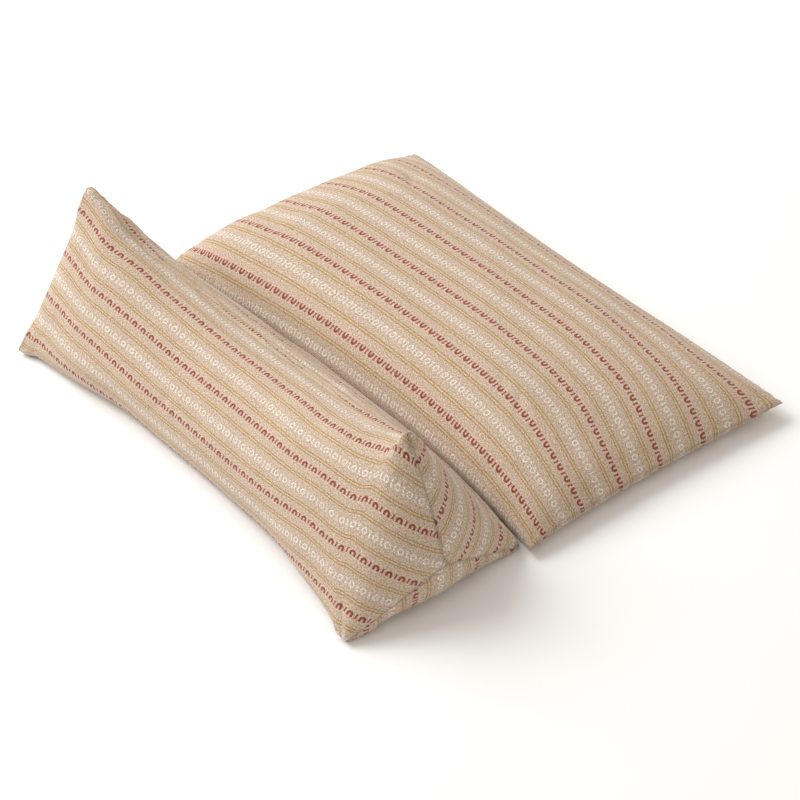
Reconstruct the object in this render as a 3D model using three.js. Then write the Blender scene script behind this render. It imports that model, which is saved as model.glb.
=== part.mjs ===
// Cervical pillow: a flat filled cushion with a three-sided bolster sewn along one long edge.
// Millimetres, +Z up. X runs along the bolster and the stripes, Y from the bolster to the cushion.
// The origin is on the surface the pillow rests on, at the centre of its bounding box.
import * as THREE from "three";
import { mergeVertices } from "three/addons/utils/BufferGeometryUtils.js";

// Flat cushion
const CUSHION_LENGTH = 500;
const CUSHION_WIDTH = 288;
const SEAM_HEIGHT = 15;
const CROWN_RISE = 50;
const UNDERSIDE_DROP = 47;
const EDGE_CURVE_POWER = 2.2;
const JOINT_DRAW_IN = 8;
const JOINT_DRAW_SKEW = 0.9;
const FAR_DRAW_IN = 10;
const LEFT_DRAW_IN = 0;
const RIGHT_DRAW_IN = 6;
const LEFT_FULLNESS = 7;
const RIGHT_FULLNESS = 3.6;
const JOINT_FULLNESS = 6;
const FAR_FULLNESS = 2.6;
// The right corner at the bolster hangs a little lower than the rest of the seam
const CORNER_DROOP = 7;
const CORNER_DROOP_POWER = 8;

// Bolster: a cloth tube closed at each end by three short seams that meet in a Y
const BOLSTER_LENGTH = 473;
const JOINT_CLEARANCE = 0.3;
const LEFT_END = { rounding: 14, underneath: 14, bulge: 16, shift: 0, drop: 10 };
const RIGHT_END = { rounding: 28, underneath: 16, bulge: 23, shift: -2, drop: 5 };
const END_FULLNESS = 0.85;
const END_ROUNDING_POWER = 0.8;

// The top right ear is pushed in towards the middle
const EAR_LEAN = 33;
const EAR_LEAN_START = 60;
const EAR_LEAN_HEIGHT = 150;
const EAR_LEAN_POWER = 1.4;

// How finely the surfaces are divided
const CUSHION_STEPS_LONG = 40;
const CUSHION_STEPS_WIDE = 30;
const BOLSTER_STEPS_LONG = 30;
const BOLSTER_STEPS_HALF_FACE = 8;
const BOLSTER_STEPS_END = 6;
const CURVE_SAMPLES = 120;

const MERGE_TOLERANCE = 1e-3;

// One row per cross-section of the bolster. The outline is three sharp or soft corners joined by
// curved faces. frontY, frontZ, ridgeY and ridgeZ place the corners that the faces aim at, seamZ is
// the height of the seam at the cushion, and a large sharp value brings the cloth close to a corner.
const SECTIONS = [
  { at: -1.0, frontY: -182, frontZ: 0, ridgeY: -90, ridgeZ: 149, seamZ: 3, front: 10, ridge: 10, seam: 10 },
  { at: -0.93, frontY: -188, frontZ: -4, ridgeY: -90, ridgeZ: 151, seamZ: 7, front: 3.4, ridge: 4.2, seam: 8 },
  { at: -0.75, frontY: -192, frontZ: -10, ridgeY: -100, ridgeZ: 144, seamZ: 12, front: 1.9, ridge: 1.5, seam: 5 },
  { at: -0.45, frontY: -187, frontZ: -18, ridgeY: -103.5, ridgeZ: 135, seamZ: 14, front: 1.1, ridge: 0.85, seam: 4 },
  { at: -0.2, frontY: -184, frontZ: -22, ridgeY: -103, ridgeZ: 130, seamZ: 14, front: 1, ridge: 0.8, seam: 4 },
  { at: 0.0, frontY: -183, frontZ: -22, ridgeY: -103.5, ridgeZ: 132, seamZ: 14, front: 1, ridge: 0.8, seam: 4 },
  { at: 0.2, frontY: -184, frontZ: -22, ridgeY: -103, ridgeZ: 138, seamZ: 14, front: 1, ridge: 0.8, seam: 4 },
  { at: 0.45, frontY: -186, frontZ: -18, ridgeY: -101.5, ridgeZ: 147, seamZ: 14, front: 1.1, ridge: 0.95, seam: 4 },
  { at: 0.75, frontY: -192, frontZ: -10, ridgeY: -93.5, ridgeZ: 152, seamZ: 12, front: 1.7, ridge: 1.6, seam: 5 },
  { at: 0.93, frontY: -191, frontZ: -4, ridgeY: -88, ridgeZ: 152, seamZ: 7, front: 3.4, ridge: 3.8, seam: 8 },
  { at: 1.0, frontY: -183, frontZ: 0, ridgeY: -88.5, ridgeZ: 155, seamZ: 3, front: 10, ridge: 10, seam: 10 },
];

// A smooth curve through one column of the section table, without overshoot between its rows.
function tableCurve(column) {
  const at = SECTIONS.map((row) => row.at);
  const value = SECTIONS.map((row) => row[column]);
  const last = at.length - 1;
  const slope = [];
  for (let i = 0; i < last; i += 1) {
    slope.push((value[i + 1] - value[i]) / (at[i + 1] - at[i]));
  }
  const tangent = [slope[0]];
  for (let i = 1; i < last; i += 1) {
    const before = slope[i - 1];
    const after = slope[i];
    tangent.push(before * after > 0 ? (2 * before * after) / (before + after) : 0);
  }
  tangent.push(slope[last - 1]);
  return (x) => {
    let i = 0;
    while (i < last - 1 && x > at[i + 1]) {
      i += 1;
    }
    const span = at[i + 1] - at[i];
    const t = (x - at[i]) / span;
    const s = 1 - t;
    const fromValues = value[i] * (1 + 2 * t) * s * s + value[i + 1] * t * t * (3 - 2 * t);
    return fromValues + span * t * s * (tangent[i] * s - tangent[i + 1] * t);
  };
}

const sectionCurve = Object.fromEntries(
  Object.keys(SECTIONS[0])
    .filter((column) => column !== "at")
    .map((column) => [column, tableCurve(column)]),
);

// The drawn-in edge of the cushion that the bolster is sewn to. It draws in more on the right.
function jointEdgeY(x) {
  const along = (2 * x) / CUSHION_LENGTH;
  const curve = 1 - Math.abs(along) ** EDGE_CURVE_POWER;
  return JOINT_DRAW_IN * curve * (1 + JOINT_DRAW_SKEW * along);
}

// A conic from one point to another that aims at a corner between them.
function cornerCurve(from, corner, to, sharpness) {
  const points = [];
  for (let i = 0; i < CURVE_SAMPLES; i += 1) {
    const t = i / CURVE_SAMPLES;
    const a = (1 - t) ** 2;
    const b = 2 * sharpness * t * (1 - t);
    const c = t * t;
    const point = from.clone().multiplyScalar(a);
    point.addScaledVector(corner, b).addScaledVector(to, c);
    points.push(point.divideScalar(a + b + c));
  }
  return points;
}

// Points at equal steps along part of a closed outline, from sample start to sample end.
function evenSteps(outline, start, end, steps) {
  const stretch = [];
  for (let i = start; i <= end; i += 1) {
    stretch.push(outline[i % outline.length]);
  }
  const lengths = [0];
  for (let i = 1; i < stretch.length; i += 1) {
    lengths.push(lengths[i - 1] + stretch[i].distanceTo(stretch[i - 1]));
  }
  const total = lengths[lengths.length - 1];
  const points = [];
  let i = 0;
  for (let step = 0; step < steps; step += 1) {
    const wanted = (total * step) / steps;
    while (lengths[i + 1] < wanted) {
      i += 1;
    }
    const share = (wanted - lengths[i]) / (lengths[i + 1] - lengths[i]);
    points.push(stretch[i].clone().lerp(stretch[i + 1], share));
  }
  return points;
}

// The outline of the bolster at one place along it, as (y, z) points. It starts under the bolster,
// halfway between the front corner and the seam, and has the same number of steps on each half face.
function bolsterOutline(at) {
  const row = {};
  for (const [column, curve] of Object.entries(sectionCurve)) {
    row[column] = curve(at);
  }
  const front = new THREE.Vector2(row.frontY, row.frontZ);
  const ridge = new THREE.Vector2(row.ridgeY, row.ridgeZ);
  const seamY = jointEdgeY((at * BOLSTER_LENGTH) / 2) - JOINT_CLEARANCE;
  const seam = new THREE.Vector2(seamY, row.seamZ).multiplyScalar(2 + 2 * row.seam);
  seam.addScaledVector(front, -0.5).addScaledVector(ridge, -0.5).divideScalar(1 + 2 * row.seam);
  const frontFace = front.clone().lerp(ridge, 0.5);
  const backFace = ridge.clone().lerp(seam, 0.5);
  const underside = seam.clone().lerp(front, 0.5);
  const outline = [
    ...cornerCurve(underside, front, frontFace, row.front),
    ...cornerCurve(frontFace, ridge, backFace, row.ridge),
    ...cornerCurve(backFace, seam, underside, row.seam),
  ];
  for (const point of outline) {
    point.y = Math.max(point.y, 0);
  }
  const half = CURVE_SAMPLES / 2;
  const points = [];
  for (let k = 0; k < 6; k += 1) {
    points.push(...evenSteps(outline, k * half, (k + 1) * half, BOLSTER_STEPS_HALF_FACE));
  }
  return points;
}

// Leans the top right ear towards the middle.
function leanEar(point) {
  const reach = BOLSTER_LENGTH / 2 - EAR_LEAN_START;
  const along = THREE.MathUtils.clamp((point.x - EAR_LEAN_START) / reach, 0, 1);
  const high = THREE.MathUtils.clamp(point.z / EAR_LEAN_HEIGHT, 0, 1);
  point.x -= EAR_LEAN * along ** 2 * high ** EAR_LEAN_POWER;
  return point;
}

// Rings of the bolster from the left Y seam, along the tube, to the right Y seam.
function bolsterRings() {
  const around = 6 * BOLSTER_STEPS_HALF_FACE;
  const corners = [1, 3, 5].map((k) => k * BOLSTER_STEPS_HALF_FACE);
  // For each point of an outline: its nearest corner, and how far it lies from it, from 0 to 1
  const nearest = [];
  const apart = [];
  for (let j = 0; j < around; j += 1) {
    const halfFace = j / BOLSTER_STEPS_HALF_FACE;
    const corner = 2 * Math.floor(halfFace / 2) + 1;
    nearest.push(corner * BOLSTER_STEPS_HALF_FACE);
    apart.push(Math.abs(halfFace - corner));
  }
  const rounding = (end, j) => {
    const shape = end < 0 ? LEFT_END : RIGHT_END;
    const below = j < BOLSTER_STEPS_HALF_FACE || j > 5 * BOLSTER_STEPS_HALF_FACE;
    const most = below ? shape.underneath : shape.rounding;
    return most * Math.sin((Math.PI / 2) * apart[j]) ** END_ROUNDING_POWER;
  };

  const endRings = (end) => {
    const shape = end < 0 ? LEFT_END : RIGHT_END;
    const outline = bolsterOutline(end);
    const centre = new THREE.Vector2(shape.shift, -shape.drop);
    for (const j of corners) {
      centre.addScaledVector(outline[j], 1 / 3);
    }
    const rings = [];
    for (let step = 1; step <= BOLSTER_STEPS_END; step += 1) {
      const angle = ((step / BOLSTER_STEPS_END) * Math.PI) / 2;
      const inwards = step === BOLSTER_STEPS_END ? 1 : 1 - Math.cos(angle) ** END_FULLNESS;
      const outwards = Math.sin(angle) ** END_FULLNESS;
      const ring = [];
      for (let j = 0; j < around; j += 1) {
        const onSeam = outline[nearest[j]].clone().lerp(centre, apart[j]);
        const section = outline[j].clone().lerp(onSeam, inwards);
        const round = rounding(end, j);
        const reach = BOLSTER_LENGTH / 2 - round + (round + shape.bulge * apart[j]) * outwards;
        ring.push(new THREE.Vector3(end * reach, section.x, section.y));
      }
      rings.push(ring);
    }
    return rings;
  };

  const tube = [];
  for (let i = 0; i <= BOLSTER_STEPS_LONG; i += 1) {
    const at = (2 * i) / BOLSTER_STEPS_LONG - 1;
    const outline = bolsterOutline(at);
    const ring = outline.map((point, j) => {
      const reach = BOLSTER_LENGTH / 2 - rounding(at, j);
      return new THREE.Vector3(at * reach, point.x, point.y);
    });
    tube.push(ring);
  }
  const rings = [...endRings(-1).reverse(), ...tube, ...endRings(1)];
  return rings.map((ring) => ring.map(leanEar));
}

// How far the filling lifts the panel at a place on it, from 0 at the seam to 1 in the middle.
function fullness(along, across) {
  const endPower = along < 0 ? LEFT_FULLNESS : RIGHT_FULLNESS;
  const sidePower = across < 0 ? JOINT_FULLNESS : FAR_FULLNESS;
  const lengthwise = 1 - Math.abs(along) ** endPower;
  const crosswise = 1 - Math.abs(across) ** sidePower;
  return Math.sqrt(Math.max(lengthwise * crosswise, 0));
}

// A point of the cushion's outline seen from above, with its sides drawn in between the corners.
function cushionPlan(along, across) {
  const endDrawIn = along < 0 ? LEFT_DRAW_IN : RIGHT_DRAW_IN;
  const endCurve = 1 - Math.abs(across) ** EDGE_CURVE_POWER;
  const x = along * (CUSHION_LENGTH / 2 - endDrawIn * endCurve);
  const sideCurve = 1 - Math.abs(along) ** EDGE_CURVE_POWER;
  const near = jointEdgeY((along * CUSHION_LENGTH) / 2);
  const far = CUSHION_WIDTH - FAR_DRAW_IN * sideCurve;
  return [x, near + ((far - near) * (across + 1)) / 2];
}

// The height of the cushion's seam and of the middle plane that its panels rise and drop from.
function seamHeight(along, across) {
  const toCorner = Math.max(along, 0) * Math.max(-across, 0);
  return SEAM_HEIGHT - CORNER_DROOP * toCorner ** CORNER_DROOP_POWER;
}

// One panel of the cushion as rows of points, from the joint edge to the far edge.
function cushionPanel(lift) {
  const rows = [];
  for (let i = 0; i <= CUSHION_STEPS_LONG; i += 1) {
    // Rows and columns crowd towards the edges, where the cloth turns down steeply
    const along = Math.sin((Math.PI / 2) * ((2 * i) / CUSHION_STEPS_LONG - 1));
    const row = [];
    for (let j = 0; j <= CUSHION_STEPS_WIDE; j += 1) {
      const across = Math.sin((Math.PI / 2) * ((2 * j) / CUSHION_STEPS_WIDE - 1));
      const [x, y] = cushionPlan(along, across);
      const height = seamHeight(along, across) + lift * fullness(along, across);
      row.push(new THREE.Vector3(x, y, Math.max(height, 0)));
    }
    rows.push(row);
  }
  return rows;
}

// Triangles over a grid of points. closed joins the last column to the first.
function gridTriangles(rows, closed, flipped) {
  const triangles = [];
  const columns = rows[0].length;
  const steps = closed ? columns : columns - 1;
  for (let i = 0; i + 1 < rows.length; i += 1) {
    for (let j = 0; j < steps; j += 1) {
      const k = (j + 1) % columns;
      const [a, b, c, d] = [rows[i][j], rows[i + 1][j], rows[i + 1][k], rows[i][k]];
      const pair = flipped ? [[a, c, b], [a, d, c]] : [[a, b, c], [a, c, d]];
      triangles.push(...pair);
    }
  }
  return triangles;
}

// A closed geometry from triangles: shared corners are merged and slivers without area dropped.
function closedGeometry(triangles) {
  const loose = new THREE.BufferGeometry().setFromPoints(triangles.flat());
  const merged = mergeVertices(loose, MERGE_TOLERANCE);
  const index = merged.getIndex().array;
  const kept = [];
  for (let t = 0; t < index.length; t += 3) {
    const [a, b, c] = [index[t], index[t + 1], index[t + 2]];
    if (a !== b && b !== c && c !== a) {
      kept.push(a, b, c);
    }
  }
  merged.setIndex(kept);
  merged.computeVertexNormals();
  return merged;
}

function clothMesh(name, triangles) {
  const cloth = new THREE.MeshStandardMaterial({ color: 0xcdb59b, roughness: 0.9, metalness: 0 });
  const mesh = new THREE.Mesh(closedGeometry(triangles), cloth);
  mesh.name = name;
  return mesh;
}

function flatCushion() {
  const top = cushionPanel(CROWN_RISE);
  const underside = cushionPanel(-UNDERSIDE_DROP);
  const triangles = [...gridTriangles(top, false, false), ...gridTriangles(underside, false, true)];
  return clothMesh("flat_cushion", triangles);
}

function bolster() {
  return clothMesh("bolster", gridTriangles(bolsterRings(), true, false));
}

const pillow = new THREE.Group();
pillow.name = "cervical_bolster_pillow";
pillow.add(flatCushion(), bolster());

const box = new THREE.Box3().setFromObject(pillow);
const centre = box.getCenter(new THREE.Vector3());
pillow.position.set(-centre.x, -centre.y, -box.min.z);
pillow.updateMatrixWorld(true);

export default pillow;
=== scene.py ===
import math
from functools import partialmethod, reduce

import bpy
import numpy as np
from bpy.props import FloatProperty, FloatVectorProperty, PointerProperty
from bpy.types import Operator, Panel, PropertyGroup
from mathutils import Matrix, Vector


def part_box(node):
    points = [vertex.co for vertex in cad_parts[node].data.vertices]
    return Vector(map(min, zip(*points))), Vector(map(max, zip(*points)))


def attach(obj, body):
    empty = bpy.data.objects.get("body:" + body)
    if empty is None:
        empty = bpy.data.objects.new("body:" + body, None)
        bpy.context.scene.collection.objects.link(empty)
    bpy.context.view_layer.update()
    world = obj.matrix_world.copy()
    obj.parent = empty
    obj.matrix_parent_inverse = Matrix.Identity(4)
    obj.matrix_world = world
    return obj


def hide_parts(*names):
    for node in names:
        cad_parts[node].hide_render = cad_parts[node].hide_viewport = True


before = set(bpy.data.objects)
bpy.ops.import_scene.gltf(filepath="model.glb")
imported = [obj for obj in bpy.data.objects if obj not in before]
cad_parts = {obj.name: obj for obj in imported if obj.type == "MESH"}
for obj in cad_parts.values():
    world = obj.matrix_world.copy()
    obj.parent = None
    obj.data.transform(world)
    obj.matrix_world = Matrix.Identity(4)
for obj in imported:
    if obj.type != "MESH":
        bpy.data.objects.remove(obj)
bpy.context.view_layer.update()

bl_info = {
    "name": "Cervical bolster pillow",
    "version": (1, 0, 0),
    "blender": (4, 5, 0),
    "location": "View3D > Sidebar > Pillow",
    "description": "Sews the striped bolster and flat cushion over the plain solids and sets up a studio",
    "category": "Object",
}

CUSHION_LOW, CUSHION_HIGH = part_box("flat_cushion")
# The middle of the cushion along x, and the line between its two corners at the bolster
MIDDLE_X = (CUSHION_LOW.x + CUSHION_HIGH.x) / 2
JOINT_LINE = CUSHION_LOW.y

# Cloth simulation: how much smaller it starts, rounds of smoothing beside the held points, and frames
START_INSET, SMOOTHING_ROUNDS, FRAMES = 0.002, 12, 20
CLOTH_SETTINGS = {
    "quality": 5, "mass": 0.25, "tension_stiffness": 20, "compression_stiffness": 20, "shear_stiffness": 8,
    "bending_stiffness": 0.6, "tension_damping": 12, "compression_damping": 12, "shear_damping": 8, "air_damping": 3,
    "use_pressure": True,
}
# Half the width of the painted shade that darkens the cloth along a seam
SEAM_SHADE_WIDTH = 0.0011
# How far from a seam the puckers and the soft waves reach their full height
SEAM_FLAT, WAVES_FLAT = 0.002, 0.03

MILLIMETRES = 1000.0
# The pattern's own sizes along the cloth, in metres
STRIPE_REPEAT = 0.046
FIGURE_PITCH = 0.0116


# Settings


def distance(name, description, default, low=0.0, high=1.0):
    return FloatProperty(name=name, description=description, default=default, min=low, max=high, unit="LENGTH",
                         subtype="DISTANCE")


def angle(name, description, degrees):
    return FloatProperty(name=name, description=description, default=math.radians(degrees), unit="ROTATION",
                         subtype="ANGLE")


def colour(name, description, default):
    return FloatVectorProperty(name=name, description=description, subtype="COLOR", size=3, default=default, min=0,
                               max=1)


def filling_pressure():
    return FloatProperty(name="Filling pressure", description="Pressure of the filling in the cloth simulation",
                         default=4.0, min=0.0, max=20.0)


def most_movement():
    return distance("Most movement", "Furthest that the simulation may move the cloth", 0.0025, 0.0, 0.03)


class PillowClothSettings(PropertyGroup):
    """Colours and sizes of the woven stripes."""

    repeat: distance("Stripe repeat", "Width of one whole set of stripes", STRIPE_REPEAT, 0.01, 0.2)
    pitch: distance("Figure pitch", "Distance from one loop or ring to the next along a stripe", FIGURE_PITCH,
                    0.004, 0.05)
    ground: colour("Ground", "Main colour of the weave", (0.571, 0.455, 0.348))
    mauve: colour("Mauve fleck", "Pinkish yarn in the ground", (0.50, 0.31, 0.31))
    sage: colour("Sage fleck", "Greenish yarn in the ground", (0.42, 0.42, 0.22))
    red: colour("Loops", "Rust red loops and bars", (0.22, 0.036, 0.012))
    white: colour("Rings", "Off-white rings and bars", (0.73, 0.66, 0.58))
    ochre: colour("Lines", "The two fine lines of each pair", (0.33, 0.205, 0.085))
    straw: colour("Between lines", "Between the two fine lines", (0.57, 0.42, 0.25))
    blush: colour("Red band", "Ground round the loops", (0.66, 0.47, 0.40))
    pale: colour("White band", "Ground round the rings", (0.46, 0.395, 0.354))


class PillowCushionSettings(PropertyGroup):
    """Sizes of the flat cushion."""

    length: distance("Length", "Seam to seam along the stripes", CUSHION_HIGH.x - CUSHION_LOW.x, 0.2)
    width: distance("Width", "Joint seam to far seam", CUSHION_HIGH.y - CUSHION_LOW.y, 0.1)
    seam_height: distance("Seam height", "Height of the seam above the bed", 0.015, high=0.1)
    crown: distance("Crown", "Rise of the upper panel above the seam", 0.050, high=0.2)
    drop: distance("Underside drop", "Fall of the lower panel before the bed flattens it", 0.047, high=0.2)
    pressure: filling_pressure()
    movement: most_movement()


class PillowBolsterSettings(PropertyGroup):
    """Sizes of the bolster."""

    length: distance("Length", "Length of the tube between its end seams", 0.473, 0.2)
    ear_lean: distance("Ear lean", "How far the top right ear is pushed in", 0.033, high=0.1)
    pressure: filling_pressure()
    movement: most_movement()


class PillowStudioSettings(PropertyGroup):
    """Camera and light."""

    azimuth: angle("Azimuth", "Turn of the camera round the pillow", 51.1597)
    elevation: angle("Elevation", "Height of the camera above the horizon", 38.6457)
    distance: distance("Distance", "Camera to the point that it looks at", 2.1226, 0.5, 10)
    look_at: FloatVectorProperty(
        name="Looks at", description="Point in the middle of the picture",
        default=(MIDDLE_X + 0.02625, JOINT_LINE + 0.0466, 0.0), size=3, unit="LENGTH", subtype="TRANSLATION")
    lens: FloatProperty(name="Lens", description="Focal length in millimetres", default=110.25, min=10, max=400)
    light: FloatProperty(name="Light", description="Strength of the studio light", default=1.0, min=0, max=10)


# Shape helpers


def table_curve(at, values, x):
    """Smooth curve through a table: on each span a cubic with the values at its ends and, as slopes, the harmonic
    mean of the neighbouring spans' slopes, or nought where they turn, so that it never overshoots."""
    at, values = np.asarray(at, float), np.asarray(values, float)
    span = np.diff(at)
    slope = np.diff(values) / span
    before, after = slope[:-1], slope[1:]
    turns = before * after <= 0
    inner = np.where(turns, 0.0, 2 * before * after / np.where(turns, 1.0, before + after))
    tangent = np.concatenate([slope[:1], inner, slope[-1:]])
    i = np.clip(np.searchsorted(at, x) - 1, 0, len(span) - 1)
    t = (x - at[i]) / span[i]
    s = 1 - t
    return (values[i] * (1 + 2 * t) * s * s + values[i + 1] * t * t * (3 - 2 * t)
            + span[i] * t * s * (tangent[i] * s - tangent[i + 1] * t))


def look_up(wanted, known, values):
    """Straight-line look-up in every row at once: row r reads its values at its own wanted places. The rows are laid
    end to end, each shifted past the one before."""
    shift = (known.max() + 1.0) * np.arange(len(known))[:, None]
    return np.interp((wanted + shift).ravel(), (known + shift).ravel(), values.ravel()).reshape(wanted.shape)


def run_lengths(points, axis):
    """Length of the way along one axis of a grid of points, from nought at its first."""
    steps = np.linalg.norm(np.diff(points, axis=axis), axis=-1)
    start = np.zeros_like(np.take(steps, [0], axis=axis))
    return np.concatenate([start, np.cumsum(steps, axis=axis)], axis=axis)


def smooth_step(low, high, x):
    """Nought below low, one above high, and 3t^2 - 2t^3 between them."""
    t = np.clip((x - low) / (high - low), 0, 1)
    return t * t * (3 - 2 * t)


def finer(grid):
    """The same grid with a point halfway between each two: (9(b + c) - (a + d)) / 16 of four neighbours in a row,
    and the plain mean at the borders. Done along both axes."""
    for axis in (0, 1):
        g = np.moveaxis(grid, axis, 0)
        middle = (g[1:] + g[:-1]) / 2
        middle[1:-1] = (9 * (g[1:-2] + g[2:-1]) - (g[:-3] + g[3:])) / 16
        out = np.empty((2 * len(g) - 1,) + g.shape[1:])
        out[0::2], out[1::2] = g, middle
        grid = np.moveaxis(out, 0, axis)
    return grid


def grid_quads(ids, flipped=False):
    """Four-sided faces over a grid of vertex numbers, and for each face corner its place in the grid."""
    rows, columns = ids.shape
    place = np.arange(rows * columns).reshape(rows, columns)
    corners = [place[:-1, :-1], place[1:, :-1], place[1:, 1:], place[:-1, 1:]]
    if flipped:
        corners = corners[::-1]
    place = np.stack([c.ravel() for c in corners], axis=-1)
    return ids.ravel()[place], place


def cloth_object(name, points, quads, cloth):
    """A mesh object from points, four-sided faces and the cloth coordinates of every face corner, in metres on the
    cloth. A face that names one point twice in a row becomes a triangle."""
    real = quads != np.roll(quads, 1, axis=1)
    corners = real.sum(axis=1)
    real[corners < 3] = False
    corners = corners[corners > 2]
    mesh = bpy.data.meshes.new(name)
    mesh.vertices.add(len(points))
    mesh.vertices.foreach_set("co", np.ascontiguousarray(points, dtype=np.float32).ravel())
    mesh.loops.add(int(corners.sum()))
    mesh.loops.foreach_set("vertex_index", quads[real].astype(np.int32))
    mesh.polygons.add(len(corners))
    mesh.polygons.foreach_set("loop_start", (np.cumsum(corners) - corners).astype(np.int32))
    mesh.update(calc_edges=True)
    layer = mesh.uv_layers.new(name="cloth")
    layer.uv.foreach_set("vector", np.ascontiguousarray(cloth[real.ravel()], dtype=np.float32).ravel())
    obj = bpy.data.objects.new(name, mesh)
    bpy.context.scene.collection.objects.link(obj)
    return obj


def read_vectors(items, name):
    """The named vector of every vertex or vertex normal, one row each."""
    values = np.empty(len(items) * 3, dtype=np.float32)
    items.foreach_get(name, values)
    return values.reshape(-1, 3).astype(float)


def write_points(mesh, points):
    mesh.vertices.foreach_set("co", np.ascontiguousarray(points, dtype=np.float32).ravel())
    mesh.update()


def eased(held, quads):
    """Nought at the held points and one far from them: one less held, then averaged over the faces again and again."""
    free = 1.0 - held
    count = np.bincount(quads.ravel(), minlength=len(held))
    for _ in range(SMOOTHING_ROUNDS):
        mean = free[quads].mean(axis=1)
        total = np.bincount(quads.ravel(), weights=np.repeat(mean, 4), minlength=len(held))
        free = np.where(held > 0, 0.0, total / np.maximum(count, 1))
    return free


def fill_with_pressure(points, quads, held, size):
    """Cloth simulation of the filled cloth: the closed shell starts START_INSET smaller and is blown up by the
    filling without gravity, its seams held."""
    shell = cloth_object("filling_run", points, quads, np.zeros((quads.size, 2)))
    mesh = shell.data
    inset = START_INSET * eased(held, quads)[:, None]
    write_points(mesh, points - inset * read_vectors(mesh.vertex_normals, "vector"))
    group = shell.vertex_groups.new(name="held")
    group.add(np.flatnonzero(held).tolist(), 1.0, "REPLACE")
    cloth = shell.modifiers.new("Cloth", "CLOTH")
    for name, value in CLOTH_SETTINGS.items():
        setattr(cloth.settings, name, value)
    cloth.settings.uniform_pressure_force = size.pressure
    cloth.settings.effector_weights.gravity = 0
    cloth.settings.vertex_group_mass = "held"
    cloth.collision_settings.use_collision = False
    cloth.point_cache.frame_start, cloth.point_cache.frame_end = 1, FRAMES
    scene = bpy.context.scene
    for frame_number in range(1, FRAMES + 1):
        scene.frame_set(frame_number)
    settled = shell.evaluated_get(bpy.context.evaluated_depsgraph_get()).data
    shift = read_vectors(settled.vertices, "co") - points
    bpy.data.objects.remove(shell)
    bpy.data.meshes.remove(mesh)
    scene.frame_set(1)
    length = np.linalg.norm(shift, axis=1, keepdims=True)
    return shift * np.minimum(1.0, size.movement / np.maximum(length, 1e-9))


# Folds: width of the raised cloth beside one, and start, reach and power of the half sine wave along it
FOLD_BESIDE, FOLD_START, FOLD_REACH, FOLD_POWER = 2.2, 0.06, 0.88, 0.7
# Soft waves: bend of the phase, wavelengths to a bend, and range of a random phase
WAVE_BEND, BEND_LENGTHS, PHASES = 0.8, 2.3, 6.28
# Puckers: wander of the phase, and turns per pucker of the three slower waves that it wanders by
PUCKER_WANDER, PUCKER_TURNS = 1.4, (0.13, 0.31, 0.57)


def folds(place, rows):
    """Depth of drawn folds at each place on the cloth. Each row gives a fold's two ends, its half width and its depth
    in millimetres, and how much the cloth rises beside it. Across the fold the depth is exp(-d^2 / w^2) less a wider,
    shallower one, and along it the depth fades as the sine of the way from end to end."""
    depth = np.zeros(len(place))
    for row in rows:
        *ends, half_width, deep = np.array(row[:-1]) / MILLIMETRES
        a, b, beside = np.array(ends[:2]), np.array(ends[2:]), row[-1]
        way = b - a
        t = np.clip((place - a) @ way / (way @ way), 0, 1)
        gap = np.linalg.norm(place - a - t[:, None] * way, axis=1)
        profile = np.exp(-(gap / half_width) ** 2) - beside * np.exp(-(gap / (FOLD_BESIDE * half_width)) ** 2)
        depth += deep * profile * np.sin(np.pi * np.clip(FOLD_START + FOLD_REACH * t, 0, 1)) ** FOLD_POWER
    return depth


def ripples(place, height, seed, count, shortest, longest, lean, spread):
    """Soft waves in the cloth: height times the sum of several sine waves over the cloth, over the root of their
    number. Their lengths lie between shortest and longest and their directions about lean, with seeded phases."""
    rng = np.random.default_rng(seed)
    total = np.zeros(len(place))
    for _ in range(count):
        length = shortest * (longest / shortest) ** rng.random()
        turned = lean + spread * (2 * rng.random() - 1)
        towards = np.array([math.cos(turned), math.sin(turned)])
        beside = np.array([-towards[1], towards[0]])
        bend = WAVE_BEND * np.sin(2 * np.pi * (place @ beside) / (BEND_LENGTHS * length) + PHASES * rng.random())
        total += np.sin(2 * np.pi * (place @ towards) / length + PHASES * rng.random() + bend)
    return height * total / math.sqrt(count)


def seam_rise(way, gap, pleats, groove):
    """Rise of the cloth beside a seam. Puckers are little pleats across it: a sine wave along the seam, whose phase
    wanders, faded as exp(-gap / reach). The seam itself sinks in by depth times exp(-(gap / half width)^2)."""
    height, pitch, reach, seed = pleats
    depth, half_width = groove
    rng = np.random.default_rng(seed)
    phase = 2 * np.pi * way / pitch
    for turns in PUCKER_TURNS:
        phase = phase + PUCKER_WANDER * np.sin(turns * 2 * np.pi * way / pitch + PHASES * rng.random())
    rise = height * np.sin(phase) * np.exp(-gap / reach) * smooth_step(0.0, SEAM_FLAT, gap)
    return rise - depth * np.exp(-(gap / half_width) ** 2)


def dress(piece, rise, seam_gap):
    """Moves every point out along its normal by its rise, though not below the bed, keeps how near it is to a seam,
    exp(-(gap / w)^2), as an attribute that the material darkens as painted shade, and gives the piece its material."""
    mesh = piece.data
    points = read_vectors(mesh.vertices, "co") + rise[:, None] * read_vectors(mesh.vertex_normals, "vector")
    points[:, 2] = np.maximum(points[:, 2], 0)
    write_points(mesh, points)
    near = mesh.attributes.new("seam", "FLOAT", "POINT")
    near.data.foreach_set("value", np.exp(-(seam_gap / SEAM_SHADE_WIDTH) ** 2).astype(np.float32))
    mesh.materials.append(cloth_material(bpy.context.scene.pillow_cloth))


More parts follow.
